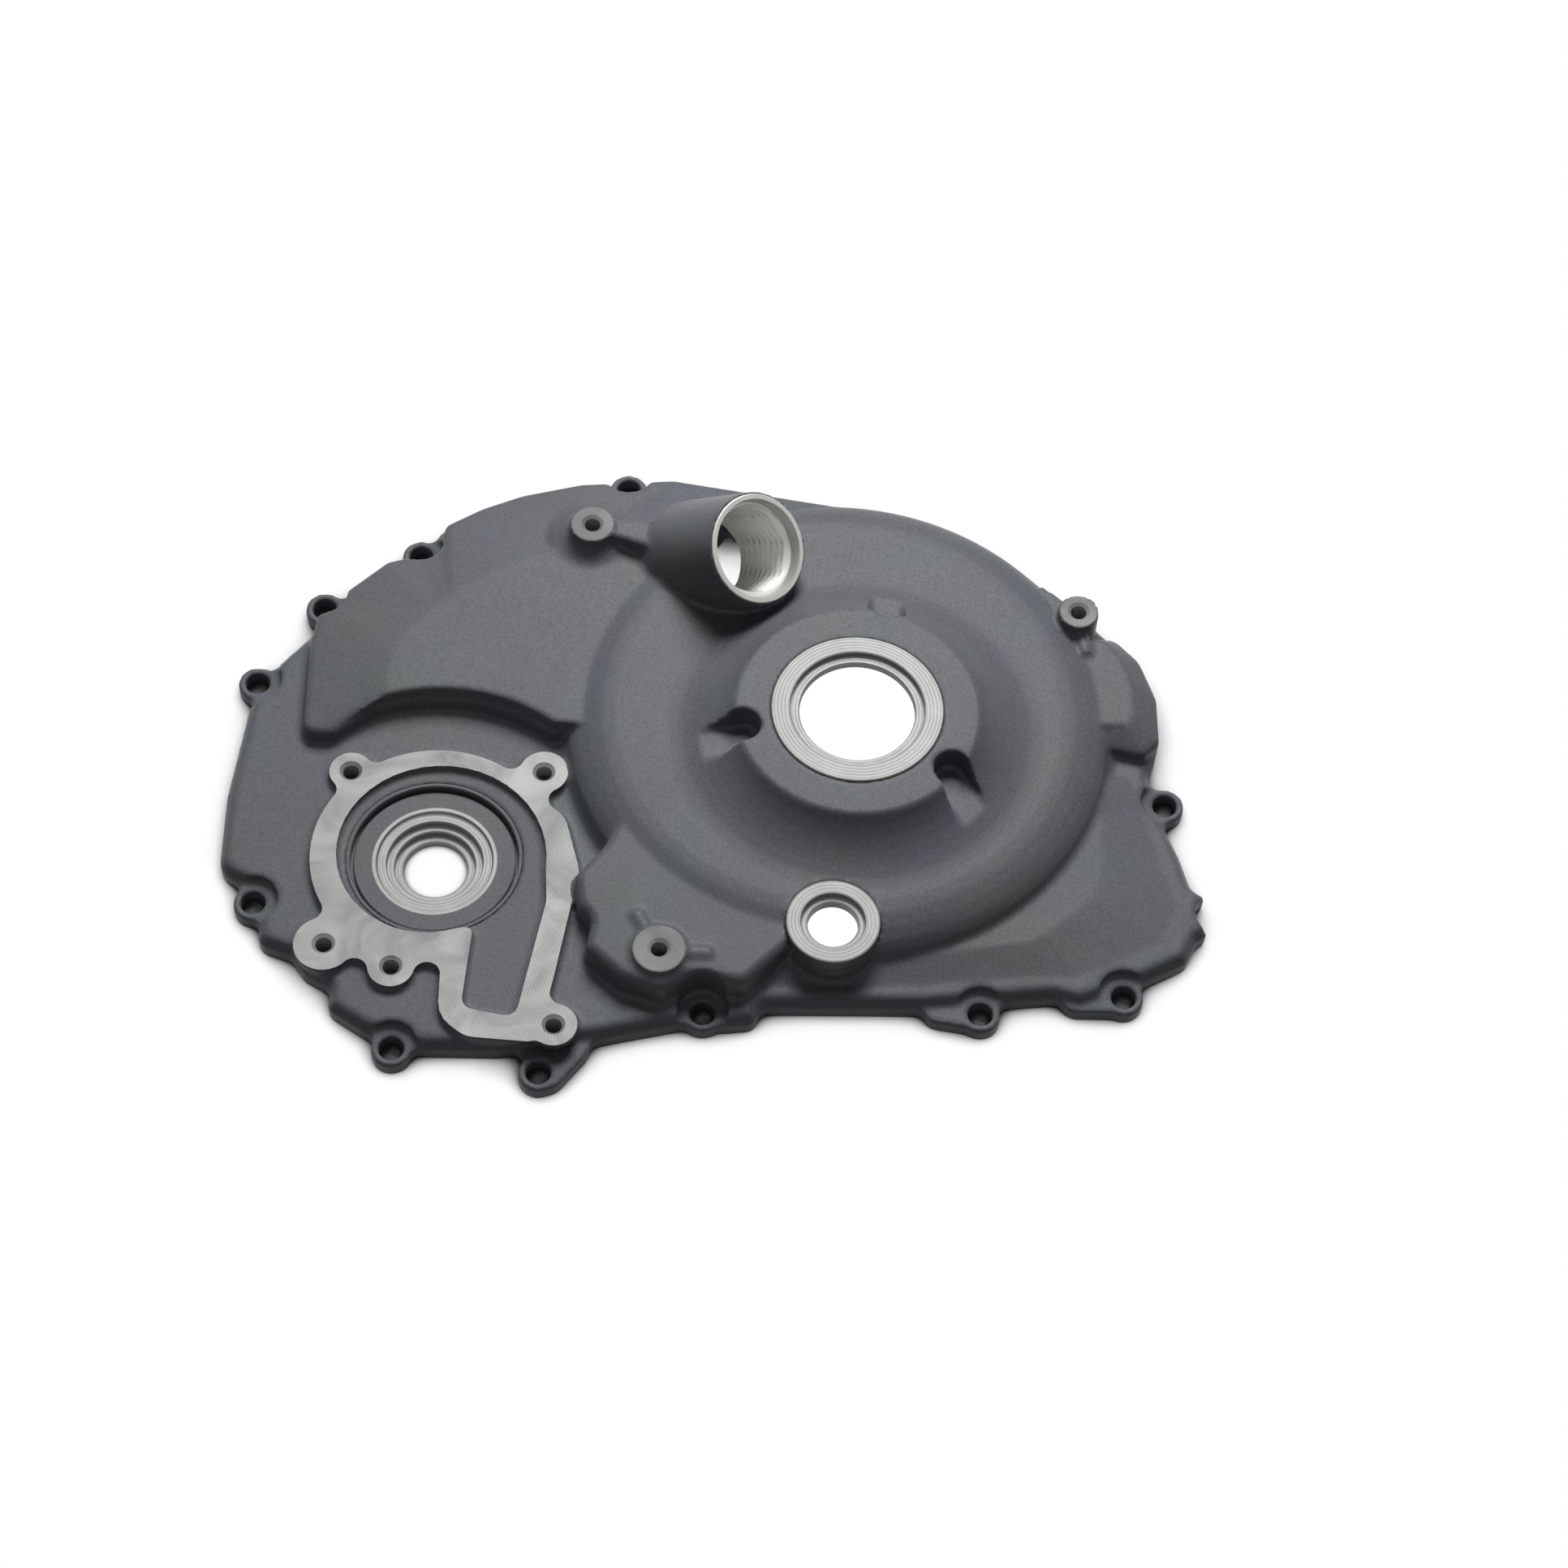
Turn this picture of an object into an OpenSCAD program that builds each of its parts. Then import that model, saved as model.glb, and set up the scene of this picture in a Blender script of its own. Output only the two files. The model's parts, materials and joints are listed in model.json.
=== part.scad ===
// Right-hand crankcase cover of a small liquid-cooled engine: one aluminium die casting with a
// clutch dome, a filler neck, a sight-glass seat, a water-pump seat and a ring of bolt lugs.
// It lies on its joint face, which is the plane z = 0, with the middle of its outline over the
// origin. Places in the plan are shares of its width, counted from the axis of the central bore.

/* [Cover] */
// Overall width of the cover, which all plan shares follow
cover_w = 300; // [250:1:340]
// Thickness of the cast walls
wall = 3.5; // [2.8:0.1:4]
// Width of the joint face between the bolt lugs
joint_land = 7; // [6:0.5:9]
// Height of the skirt that stands on the joint face
skirt_h = 8.6; // [8:0.1:10]
// Step between the joint flange and the skirt
skirt_step = 0.6; // [0.3:0.1:1.2]
// Draft and rounding taken off each raised edge
edge_round = 2.2; // [1:0.1:3]

/* [Bolt lugs] */
// Height of the bolt lugs above the joint face
lug_h = 5.5; // [4.5:0.5:6.5]
// Radius of a bolt lug
lug_r = 6; // [5.6:0.1:7]
// Radius of a bolt hole
bolt_r = 3.75; // [3.2:0.05:4]
// Radius of the room left for a bolt head
head_room_r = 7.6; // [7:0.1:9]
// Radius of the fillet between a lug and the skirt
lug_fillet = 3; // [2:0.5:4]
// Radius of the half-round relief in the right edge
relief_r = 6.2; // [5:0.1:7]

/* [Clutch dome] */
// Radius of the dome at its foot
dome_r = 86; // [84:0.5:88]
// Radius of the crest of the dome's shoulder
crest_r = 69; // [66:0.5:72]
// Height of the dome's shoulder
crest_h = 19.5; // [17:0.5:22]
// Height of the central boss face
boss_h = 30; // [28:0.5:34]
// Radius of the central boss face
boss_r = 36.5; // [34:0.5:38]
// Radius where the flank of the central boss runs out
flank_r = 58; // [54:0.5:62]
// Radius of the machined ring in the boss face
ring_r = 26.4; // [25:0.1:28]
// Height of the machined ring above the boss face
ring_rise = 0.6; // [0.3:0.1:1]
// Radius of the counterbore in the machined ring
counter_r = 20.6; // [19.5:0.1:23]
// Depth of the counterbore in the machined ring
counter_d = 1.8; // [1:0.1:2.5]
// Radius of the central bore
bore_r = 17.8; // [16:0.1:19]
// Height of the floor of the three pockets in the boss flank
pocket_h = 21.2; // [21:0.1:23]
// Half width of a pocket
pocket_r = 5.6; // [4.5:0.1:6.5]

/* [Raised decks] */
// Height of the rear deck at its crease
deck_h = 17.5; // [16:0.5:20]
// Height of the rear deck at its outer edge
deck_edge_h = 14.2; // [13:0.1:15]
// Height of the lower deck
low_deck_h = 18; // [17:0.5:20]
// Height of the block beside the dome
block_h = 16; // [15:0.5:18]
// Fall of the block's outer side
block_fall = 3; // [2:0.5:4]
// Height of the right deck where it meets the dome
right_deck_h = 11; // [10:0.5:12.5]

/* [Water pump seat] */
// Height of the machined gasket face
pad_h = 11; // [10.5:0.5:13]
// Height of the cast floor inside the gasket face
scroll_h = 9.1; // [9:0.1:9.6]
// Height of the round floor round the shaft bore
disc_h = 7.2; // [6.5:0.1:7.5]
// Radius of the round floor
disc_r = 25.5; // [24:0.1:26]
// Width of the groove round that floor
groove_w = 0.9; // [0.6:0.1:1.5]
// Depth of the groove round that floor
groove_d = 1.2; // [0.8:0.1:1.5]
// Radius of the seal seat ring
seal_ring_r = 19; // [18:0.1:20]
// Width of the rim of the seal seat ring
seal_rim_w = 1.5; // [1:0.1:2]
// Depth of the rim of the seal seat ring
seal_rim_d = 1; // [0.6:0.1:1.2]
// Depth of the seal bore
seal_d = 2; // [1.5:0.1:2.2]
// Depth of the bearing bore
bearing_d = 2; // [1.5:0.1:2.2]
// Radius of the seal bore
seal_r = 14.6; // [14:0.1:15.5]
// Radius of the bearing bore
bearing_r = 12.2; // [11.6:0.1:13]
// Outer radius of the bearing housing inside the cover
housing_r = 19.5; // [18:0.1:21]
// Radius of the shaft bore
shaft_r = 9.7; // [9:0.1:10.5]

/* [Filler neck] */
// Height of the middle of the filler mouth
neck_h = 37; // [35:0.5:40]
// Outer radius of the filler neck at its mouth
neck_r = 17.8; // [17:0.1:19]
// Length of the filler neck
neck_len = 38; // [36:0.5:42]
// Widening of the neck towards its root
neck_flare = 2; // [1:0.1:3]
// Radius of the filler bore
filler_r = 13; // [12:0.1:14]
// Depth of the bevel at the filler mouth
mouth_bevel = 2.6; // [1.5:0.1:3.5]
// Length of the neck's root that the filler bore leaves solid
filler_end = 5; // [3:0.5:8]

/* [Sight glass and cover bosses] */
// Height of the sight-glass seat
sight_h = 20.4; // [20:0.1:22]
// Outer radius of the sight-glass seat
sight_r = 14.1; // [13:0.1:15]
// Radius of the sight-glass counterbore
glass_r = 9.6; // [9:0.1:11]
// Depth of the sight-glass counterbore
glass_d = 2; // [1:0.1:3]
// Radius of the hole through the sight-glass seat
sight_hole_r = 7.6; // [7:0.1:8.5]
// Radius of a tapped hole
tap_r = 2.5; // [2:0.1:3]
// Depth of a tapped hole
tap_d = 7; // [5:0.5:8]
// Radius of the mouth of a tapped hole
tap_mouth_r = 3.5; // [2.8:0.1:3.6]
// Depth of the mouth of a tapped hole
tap_mouth_d = 0.8; // [0.4:0.1:1.2]

/* [Hidden] */
$fn = 72;
// How far a cut runs past the face that it opens
over = 1;
// How far a raised form runs past its level top before it is cut
crown_over = 0.2;
// Height of the skirt's rounded edge, as a share of its width
edge_share = 0.7;
// Number of chords in a rounded corner
corner_chords = 3;
// Number of chords where a wall follows the dome or the pump
follow_chords = 9;
// Height inside the joint flange at which the turned forms start
foot_h = lug_h - wall / 2;

// Middle of the cover's bounding box
middle_share = [-0.144, -0.022];

// Outline of the skirt in shares of the width, anticlockwise from below the sight glass,
// each row with its corner radius
skirt_right_shares = [
    [-0.095, -0.304, 0.010], [0.065, -0.302, 0], [0.197, -0.288, 0.02], [0.222, -0.296, 0.01],
    [0.290, -0.267, 0.010], [0.332, -0.245, 0.012], [0.344, -0.220, 0.010], [0.355, -0.212, 0],
    [0.355, -0.168, 0], [0.342, -0.158, 0.010], [0.332, -0.120, 0.03], [0.316, -0.078, 0.01],
    [0.306, -0.028, 0.012], [0.315, 0.000, 0.012], [0.318, 0.060, 0.03], [0.303, 0.110, 0.03],
    [0.277, 0.143, 0.02], [0.250, 0.172, 0.02]];
skirt_left_shares = [
    [-0.192, 0.341, 0.010], [-0.262, 0.334, 0], [-0.293, 0.332, 0.02], [-0.357, 0.315, 0.06],
    [-0.400, 0.296, 0.06], [-0.443, 0.271, 0.015], [-0.452, 0.236, 0.012], [-0.498, 0.223, 0.012],
    [-0.543, 0.180, 0.015], [-0.573, 0.130, 0.015], [-0.600, 0.098, 0.02], [-0.628, 0.040, 0.02],
    [-0.642, -0.068, 0.10], [-0.643, -0.160, 0.024], [-0.600, -0.180, 0.02],
    [-0.597, -0.242, 0.014], [-0.563, -0.254, 0.010], [-0.549, -0.275, 0.010],
    [-0.522, -0.290, 0.010], [-0.523, -0.314, 0.010], [-0.487, -0.338, 0.010],
    [-0.428, -0.357, 0.010], [-0.353, -0.357, 0.014], [-0.258, -0.343, 0.014],
    [-0.175, -0.324, 0.010], [-0.127, -0.325, 0.010], [-0.102, -0.322, 0.010]];
// Middle of the dome's outer wall, away from the bore
dome_share = [-0.017, 0.020];
// Directions between which the skirt follows the dome, in degrees
dome_follow = [35, 92];
// Margin of the skirt round the dome
dome_margin = 2.5;

// Bolt lugs, anticlockwise from the one below the sight glass
lug_shares = [
    [-0.153, -0.311], [0.123, -0.307], [0.267, -0.285], [0.321, -0.058], [-0.241, 0.336],
    [-0.461, 0.241], [-0.559, 0.170], [-0.622, 0.073], [-0.606, -0.193], [-0.458, -0.356],
    [-0.313, -0.380]];
// Tongues of the flange beside three of the lugs, each from the lug to its tip
tongue_shares = [
    [[0.123, -0.312], [0.080, -0.305]], [[0.267, -0.290], [0.218, -0.290]],
    [[-0.302, -0.385], [-0.276, -0.352]]];
tongue_r = 3.6;
relief_share = [0.364, -0.190];

// Rear deck: outline row and the row of its crease
deck_shares = [
    [[-0.255, -0.005, 0], [-0.250, 0.000, 0]], [[-0.130, 0.200, 0], [-0.135, 0.190, 0]],
    [[0.030, 0.255, 0], [-0.080, 0.232, 0]], [[0.012, 0.302, 0], [-0.090, 0.246, 0]],
    [[-0.192, 0.337, 0.012], [-0.215, 0.262, 0.01]],
    [[-0.293, 0.329, 0.02], [-0.305, 0.222, 0.01]], [[-0.357, 0.312, 0.06], [-0.348, 0.203, 0.02]],
    [[-0.400, 0.293, 0.06], [-0.380, 0.188, 0.02]], [[-0.440, 0.268, 0.014], [-0.408, 0.169, 0.01]],
    [[-0.449, 0.234, 0.012], [-0.424, 0.156, 0.01]],
    [[-0.497, 0.220, 0.012], [-0.441, 0.139, 0.01]],
    [[-0.542, 0.177, 0.015], [-0.458, 0.120, 0.01]],
    [[-0.566, 0.158, 0.015], [-0.468, 0.104, 0.01]],
    [[-0.575, 0.110, 0.020], [-0.476, 0.085, 0.01]],
    [[-0.575, -0.012, 0.020], [-0.480, 0.064, 0.01]],
    [[-0.535, -0.014, 0.024], [-0.481, 0.050, 0.004]]];
// Directions from the pump axis between which the deck's wall and its crease follow the pump
deck_follow = [113, 52];
crease_follow = [106, 52];
// Radius of the deck's wall round the pump axis
deck_wall_r = 52.5;
pump_share = [-0.426, -0.144];

// Lower deck between the dome and the pump: outline rows
low_deck_shares = [
    [-0.150, -0.100, 0], [-0.215, -0.048, 0.012], [-0.238, -0.098, 0.03], [-0.258, -0.140, 0.03],
    [-0.287, -0.175, 0.018], [-0.281, -0.214, 0.012], [-0.268, -0.230, 0.012],
    [-0.274, -0.262, 0.014], [-0.236, -0.297, 0.02], [-0.193, -0.311, 0.014],
    [-0.168, -0.294, 0.014], [-0.112, -0.303, 0.016], [-0.062, -0.253, 0.02], [-0.030, -0.200, 0]];

// Block beside the dome: outline row and the row of its level top
block_shares = [
    [[0.150, 0.010, 0], [0.155, 0.012, 0]], [[0.213, 0.006, 0.010], [0.205, 0.010, 0.004]],
    [[0.300, -0.015, 0.012], [0.282, 0.020, 0.006]], [[0.319, 0.003, 0.012], [0.290, 0.035, 0.006]],
    [[0.319, 0.060, 0.03], [0.288, 0.070, 0.01]], [[0.303, 0.108, 0.03], [0.280, 0.098, 0.01]],
    [[0.277, 0.137, 0.02], [0.262, 0.124, 0.01]], [[0.165, 0.137, 0], [0.170, 0.127, 0]]];

// Right deck: outline row and the row of its crease
right_deck_shares = [
    [[-0.090, -0.240, 0], [-0.080, -0.235, 0]], [[-0.093, -0.299, 0], [-0.075, -0.255, 0]],
    [[0.065, -0.297, 0], [0.065, -0.250, 0]], [[0.197, -0.283, 0.02], [0.170, -0.232, 0.01]],
    [[0.222, -0.291, 0.01], [0.190, -0.220, 0.01]], [[0.288, -0.262, 0.01], [0.215, -0.198, 0.01]],
    [[0.328, -0.242, 0.012], [0.232, -0.180, 0.01]],
    [[0.348, -0.190, 0.02], [0.243, -0.155, 0.01]], [[0.327, -0.120, 0.03], [0.246, -0.120, 0.01]],
    [[0.310, -0.060, 0.01], [0.248, -0.085, 0.01]], [[0.300, -0.020, 0], [0.248, -0.050, 0]],
    [[0.200, 0.000, 0], [0.205, -0.030, 0]]];

// Three pockets in the flank of the central boss: place of the round end and direction
pocket_shares = [[0.034, 0.136], [-0.117, -0.020], [0.095, -0.067]];
pocket_turns = [90, 194, 300];
// Wall between a pocket and the room under the boss, as a share of the wall
pocket_wall_share = 0.7;

// Gasket face of the pump seat: corner lugs and the strips that join them
pad_hole_shares = [
    [-0.516, -0.046], [-0.319, -0.043], [-0.530, -0.250], [-0.462, -0.274], [-0.299, -0.337]];
pad_lug_r = [6.6, 7.4, 9, 7, 7];
// Outer radius of the gasket face round the pump axis
pad_r = 37.5;
// Fillet between the gasket face and its lugs
pad_fillet = 4;
// Outlet channel: outer strip and inner floor, each a row of corners
outlet_shares = [
    [-0.395, -0.200, 0], [-0.413, -0.262, 0.02], [-0.413, -0.330, 0.034], [-0.385, -0.352, 0.03],
    [-0.315, -0.357, 0.01], [-0.300, -0.280, 0.03], [-0.279, -0.160, 0.03],
    [-0.296, -0.095, 0.03], [-0.330, -0.070, 0]];
outlet_floor_shares = [
    [-0.383, -0.228, 0.006], [-0.391, -0.319, 0.012], [-0.337, -0.330, 0.012],
    [-0.311, -0.197, 0.03]];
// Radius of the volute's wall at the outlet and at the tongue, and its directions there
volute_r = [34.2, 27];
volute_turns = [-7, 288];
volute_chords = 36;

sight_share = [-0.025, -0.232];
// Rise of a flared boss up to its neck, as a share of its height above the deck
flare_share = 0.8;
flare_chords = 5;
front_boss_share = [-0.197, -0.266];
front_boss_r = 8.3;
front_boss_h = 20.2;
front_rib_turns = [118, 0];
front_rib_len = 15.5;
rib_w = 3;
rear_boss_share = [-0.277, 0.243];
rear_boss_r = 7.1;
rear_boss_h = 24;
rear_flare_r = 13.5;
// Web that widens from the rear boss to the filler neck
rear_web_turn = -8;
rear_web_len = 23;
rear_web_drop = 0.8;
side_boss_share = [0.236, 0.149];
side_boss_r = 6.4;
side_boss_h = 21;
// Rib that runs down from the side boss and arm that joins it to the dome
side_rib_turn = -80;
side_rib_len = 13.4;
side_arm_turn = 140;
side_arm_len = 16.6;

neck_share = [-0.102, 0.183];
// Lean of the neck from upright and the turn of its hinge line, in degrees
neck_lean = 42;
neck_turn = 54;

// A share row as a place in the plan
function place(share) = [share[0], share[1]] * cover_w;
function unit(v) = v / norm(v);
function rows_at(shares) = [for (s = shares) [s[0], s[1], s[2]] * cover_w];

// Points of one corner with the outward normal at each: [x, y, nx, ny]
function corner(before, at, after, radius) =
    let (
        b = [at[0], at[1]],
        u = unit([before[0], before[1]] - b),
        w = unit([after[0], after[1]] - b),
        n_in = [-u[1], u[0]],
        n_out = [w[1], -w[0]],
        half = acos(max(-1, min(1, u * w))) / 2,
        convex = cross(-u, w) > 0 ? 1 : -1
    )
    radius == 0
        ? [concat(b, (n_in + n_out) / (1 + n_in * n_out))]
        : let (
            middle = b + unit(u + w) * radius / sin(half),
            first = -convex * n_in,
            start_turn = atan2(-first[1], -first[0]),
            sweep = convex * (180 - 2 * half)
        )
        [for (i = [0:corner_chords])
            let (
                turn = start_turn + sweep * i / corner_chords,
                n = [cos(turn), sin(turn)]
            )
            concat(middle + n * radius, n * convex)];

// Closed outline from rows of [x, y, corner radius]
function outline(rows) =
    let (n = len(rows))
    [for (i = [0:n - 1])
        each corner(rows[(i + n - 1) % n], rows[i], rows[(i + 1) % n], rows[i][2])];
// The same outline drawn in by a distance
function drawn_in(points, inset) = [for (p = points) [p[0] - p[2] * inset, p[1] - p[3] * inset]];
function arc_rows(middle, radius, from, to, steps) =
    [for (i = [0:steps])
        let (turn = from + (to - from) * i / steps)
        [middle[0] + radius * cos(turn), middle[1] + radius * sin(turn), 0]];
function lifted(points, z) = [for (p = points) [p[0], p[1], z]];

// Slab across the whole cover between two heights
module slab(from_h, to_h) {
    translate([-cover_w, -cover_w, from_h]) cube([2 * cover_w, 2 * cover_w, to_h - from_h]);
}

// Solid between level rings of equally many points, lowest ring first, with its top cut level
module rings_solid(rings) {
    n = len(rings[0]);
    last = len(rings) - 1;
    intersection() {
        polyhedron(
            points = concat(
                [for (k = [0:last - 1]) each rings[k]],
                [for (p = rings[last]) p + [0, 0, crown_over]]),
            faces = concat(
                [[for (i = [0:n - 1]) i]],
                [for (k = [0:last - 1]) for (i = [0:n - 1])
                    each [
                        [k * n + i, (k + 1) * n + i, (k + 1) * n + (i + 1) % n],
                        [k * n + i, (k + 1) * n + (i + 1) % n, k * n + (i + 1) % n]]],
                [[for (i = [n - 1:-1:0]) last * n + i]]));
        slab(-2 * over, rings[last][0][2]);
    }
}

dome_at = place(dome_share);
pump_at = place(pump_share);

skirt_rows = concat(
    rows_at(skirt_right_shares),
    arc_rows(dome_at, dome_r + dome_margin, dome_follow[0], dome_follow[1], follow_chords),
    rows_at(skirt_left_shares));
skirt_points = outline(skirt_rows);

// Plan of the joint flange with its bolt lugs
module flange_plan() {
    offset(r = -lug_fillet, $fn = 24) offset(delta = lug_fillet) {
        polygon(drawn_in(skirt_points, 0));
        for (s = lug_shares) translate(place(s)) circle(lug_r, $fn = 24);
        for (t = tongue_shares)
            hull() for (s = t) translate(place(s)) circle(tongue_r, $fn = 16);
    }
}

// Skirt with a rounded upper edge, which the joint face cuts off level
module skirt() {
    rings_solid([
        lifted(drawn_in(skirt_points, skirt_step), -over),
        lifted(drawn_in(skirt_points, skirt_step + edge_round / 5), skirt_h - edge_round * edge_share),
        lifted(drawn_in(skirt_points, skirt_step + edge_round), skirt_h)]);
}

// A raised deck: foot, drafted wall, rounded edge and a top that rises to its crease
module crowned_deck(points, crease, foot_h, edge_h, top_h) {
    rings_solid([
        lifted(drawn_in(points, skirt_step), foot_h),
        lifted(drawn_in(points, edge_round), edge_h - edge_round / 2),
        lifted(drawn_in(points, edge_round + edge_round / 2), edge_h),
        lifted(drawn_in(crease, 0), top_h)]);
}

// A raised deck with a level top
module flat_deck(points, foot_h, top_h) {
    rings_solid([
        lifted(drawn_in(points, 0), foot_h),
        lifted(drawn_in(points, edge_round / 2), top_h - edge_round),
        lifted(drawn_in(points, edge_round), top_h - edge_round / 3),
        lifted(drawn_in(points, edge_round + edge_round / 2), top_h)]);
}

// Rear deck, whose lower wall follows the pump
deck_points = outline(concat(
    rows_at([for (d = deck_shares) d[0]]),
    arc_rows(pump_at, deck_wall_r, deck_follow[0], deck_follow[1], follow_chords)));
deck_crease = outline(concat(
    rows_at([for (d = deck_shares) d[1]]),
    arc_rows(pump_at, deck_wall_r + 2 * edge_round, crease_follow[0], crease_follow[1],
        follow_chords)));
module rear_deck() {
    crowned_deck(deck_points, deck_crease, skirt_h / 2, deck_edge_h, deck_h);
}

module lower_deck() {
    flat_deck(outline(rows_at(low_deck_shares)), skirt_h / 2, low_deck_h);
}

right_deck_points = outline(rows_at([for (d = right_deck_shares) d[0]]));
right_deck_crease = outline(rows_at([for (d = right_deck_shares) d[1]]));
module right_deck() {
    rings_solid([
        lifted(drawn_in(right_deck_points, skirt_step + edge_round), skirt_h - over / 2),
        lifted(drawn_in(right_deck_crease, 0), right_deck_h)]);
}

// Block beside the dome, with its outer side falling away
block_points = outline(rows_at([for (b = block_shares) b[0]]));
block_top = outline(rows_at([for (b = block_shares) b[1]]));
module block() {
    rings_solid([
        lifted(drawn_in(block_points, skirt_step), skirt_h / 2),
        lifted(drawn_in(block_points, edge_round / 3), block_h - block_fall - edge_round / 2),
        lifted(drawn_in(block_points, edge_round), block_h - block_fall),
        lifted(drawn_in(block_top, 0), block_h)]);
}

// Profile of the clutch dome: foot, steep wall, rounded shoulder and level crest
shoulder_fall = dome_r - crest_r;
shoulder_turns = [10, 26, 42, 58, 74, 90];
shoulder_h = skirt_h + edge_round / 4;
module dome() {
    translate(dome_at) rotate_extrude()
        polygon(concat(
            [[0, foot_h], [dome_r, foot_h], [dome_r, shoulder_h]],
            [for (t = shoulder_turns)
                [crest_r + (shoulder_fall - edge_round / 2) * cos(t),
                 shoulder_h + (crest_h - shoulder_h) * sin(t)]],
            [[0, crest_h]]));
}

// Central boss: its flank is a hollow arc that runs out on the crest of the dome
flank_chords = 6;
flank_rise = boss_h - crest_h;
flank_run = flank_r - boss_r - edge_round / 2;
flank_arc_r = (pow(flank_run, 2) + pow(flank_rise, 2)) / (2 * flank_rise);
flank_sweep = asin(flank_run / flank_arc_r);
module boss() {
    rotate_extrude()
        polygon(concat(
            [[0, crest_h - wall], [flank_r, crest_h - wall]],
            [for (i = [0:flank_chords])
                let (t = flank_sweep * i / flank_chords)
                [flank_r - flank_arc_r * sin(t), crest_h + flank_arc_r * (1 - cos(t))]],
            [[0, boss_h]]));
    cylinder(h = boss_h + ring_rise, r = ring_r);
}

// The three pockets, grown by a margin that leaves their walls
module pockets(margin) {
    r = pocket_r + margin;
    for (i = [0:2])
        translate(concat(place(pocket_shares[i]), pocket_h - margin)) rotate(pocket_turns[i]) {
            cylinder(h = boss_h, r = r);
            translate([0, -r, 0]) cube([boss_r, 2 * r, boss_h]);
        }
}

module along_neck() {
    translate(concat(place(neck_share), neck_h)) rotate([neck_lean, 0, neck_turn]) children();
}

module neck() {
    intersection() {
        along_neck() translate([0, 0, -neck_len])
            cylinder(h = neck_len, r1 = neck_r + neck_flare, r2 = neck_r);
        translate(concat(place(neck_share), foot_h)) cylinder(h = 2 * neck_h, r = 2 * neck_len);
    }
}

// A screw boss that flares out to its root
module flared_boss(share, top_h, root_h, top_r, root_r) {
    run = root_r - top_r;
    rise = (top_h - root_h) * flare_share;
    translate(place(share)) rotate_extrude()
        polygon(concat(
            [[0, foot_h + over / 2], [root_r, foot_h + over / 2]],
            [for (i = [0:flare_chords])
                let (t = 90 * i / flare_chords)
                [root_r - run * sin(t), root_h + rise * (1 - cos(t))]],
            [[top_r, top_h], [0, top_h]]));
}

module front_boss() {
    translate(place(front_boss_share)) {
        cylinder(h = front_boss_h, r = front_boss_r);
        for (t = front_rib_turns) rotate(t) translate([0, -rib_w / 2, low_deck_h - wall])
            cube([front_rib_len, rib_w, wall + rib_w / 3]);
    }
}

module side_boss() {
    translate(place(side_boss_share)) {
        cylinder(h = side_boss_h, r = side_boss_r);
        rotate(side_rib_turn) translate([0, -rib_w / 2, block_h - wall])
            cube([side_rib_len, rib_w, wall + rib_w / 2]);
        rotate(side_arm_turn) translate([0, -rib_w, 0])
            cube([side_arm_len, 2 * rib_w, crest_h - rib_w]);
    }
}

module rear_boss() {
    flared_boss(rear_boss_share, rear_boss_h, deck_h, rear_boss_r, rear_flare_r);
    translate(place(rear_boss_share)) rotate(rear_web_turn)
        linear_extrude(rear_boss_h - rear_web_drop)
            polygon([
                [0, -rib_w / 2], [rear_web_len, -2 * rib_w], [rear_web_len, 2 * rib_w],
                [0, rib_w]]);
}

module sight_seat() {
    translate(place(sight_share)) cylinder(h = sight_h, r = sight_r);
}

// Outline of the gasket face, filled
module pad_outline() {
    offset(r = -pad_fillet) offset(delta = pad_fillet) {
        translate(pump_at) circle(pad_r);
        for (i = [0:len(pad_hole_shares) - 1])
            translate(place(pad_hole_shares[i])) circle(pad_lug_r[i]);
        polygon(drawn_in(outline(rows_at(outlet_shares)), 0));
    }
}

// Volute round the impeller: its wall closes in from the outlet to the tongue
volute_rows = concat(
    [for (i = [0:volute_chords])
        let (
            turn = volute_turns[0] + (volute_turns[1] - volute_turns[0]) * i / volute_chords,
            r = volute_r[0] + (volute_r[1] - volute_r[0]) * i / volute_chords
        )
        [pump_at[0] + r * cos(turn), pump_at[1] + r * sin(turn), 0]],
    rows_at(outlet_floor_shares));

module pad() {
    translate([0, 0, skirt_h - over]) linear_extrude(pad_h - skirt_h + over) pad_outline();
}

module pump_cuts() {
    seal_top = disc_h - seal_rim_d;
    translate([0, 0, scroll_h]) linear_extrude(pad_h) polygon(drawn_in(outline(volute_rows), 0));
    translate(pump_at) {
        translate([0, 0, disc_h]) cylinder(h = pad_h, r = disc_r);
        difference() {
            translate([0, 0, disc_h - groove_d]) cylinder(h = pad_h, r = disc_r);
            cylinder(h = pad_h, r = disc_r - groove_w);
        }
        translate([0, 0, seal_top]) cylinder(h = pad_h, r = seal_ring_r - seal_rim_w);
        translate([0, 0, seal_top - seal_d]) cylinder(h = pad_h, r = seal_r);
        translate([0, 0, seal_top - seal_d - bearing_d]) cylinder(h = pad_h, r = bearing_r);
        translate([0, 0, -over]) cylinder(h = pad_h + 2 * over, r = shaft_r);
    }
}

// Plan of the room inside the joint face, drawn in further by a draft, round the bolt lugs
module inner_plan(draft) {
    difference() {
        offset(delta = -joint_land - draft) polygon(drawn_in(skirt_points, 0));
        for (s = lug_shares)
            translate(place(s)) circle(head_room_r + wall / 2 + draft, $fn = 20);
    }
}

// Hollow under one deck: the deck's plan drawn in, inside the joint face
module deck_hollow(points, inset, top, draft) {
    translate([0, 0, -over]) linear_extrude(top + over)
        offset(r = wall / 2, $fn = 16) offset(delta = -wall / 2) intersection() {
            inner_plan(draft);
            offset(delta = -inset) polygon(drawn_in(points, 0));
        }
}

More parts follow.
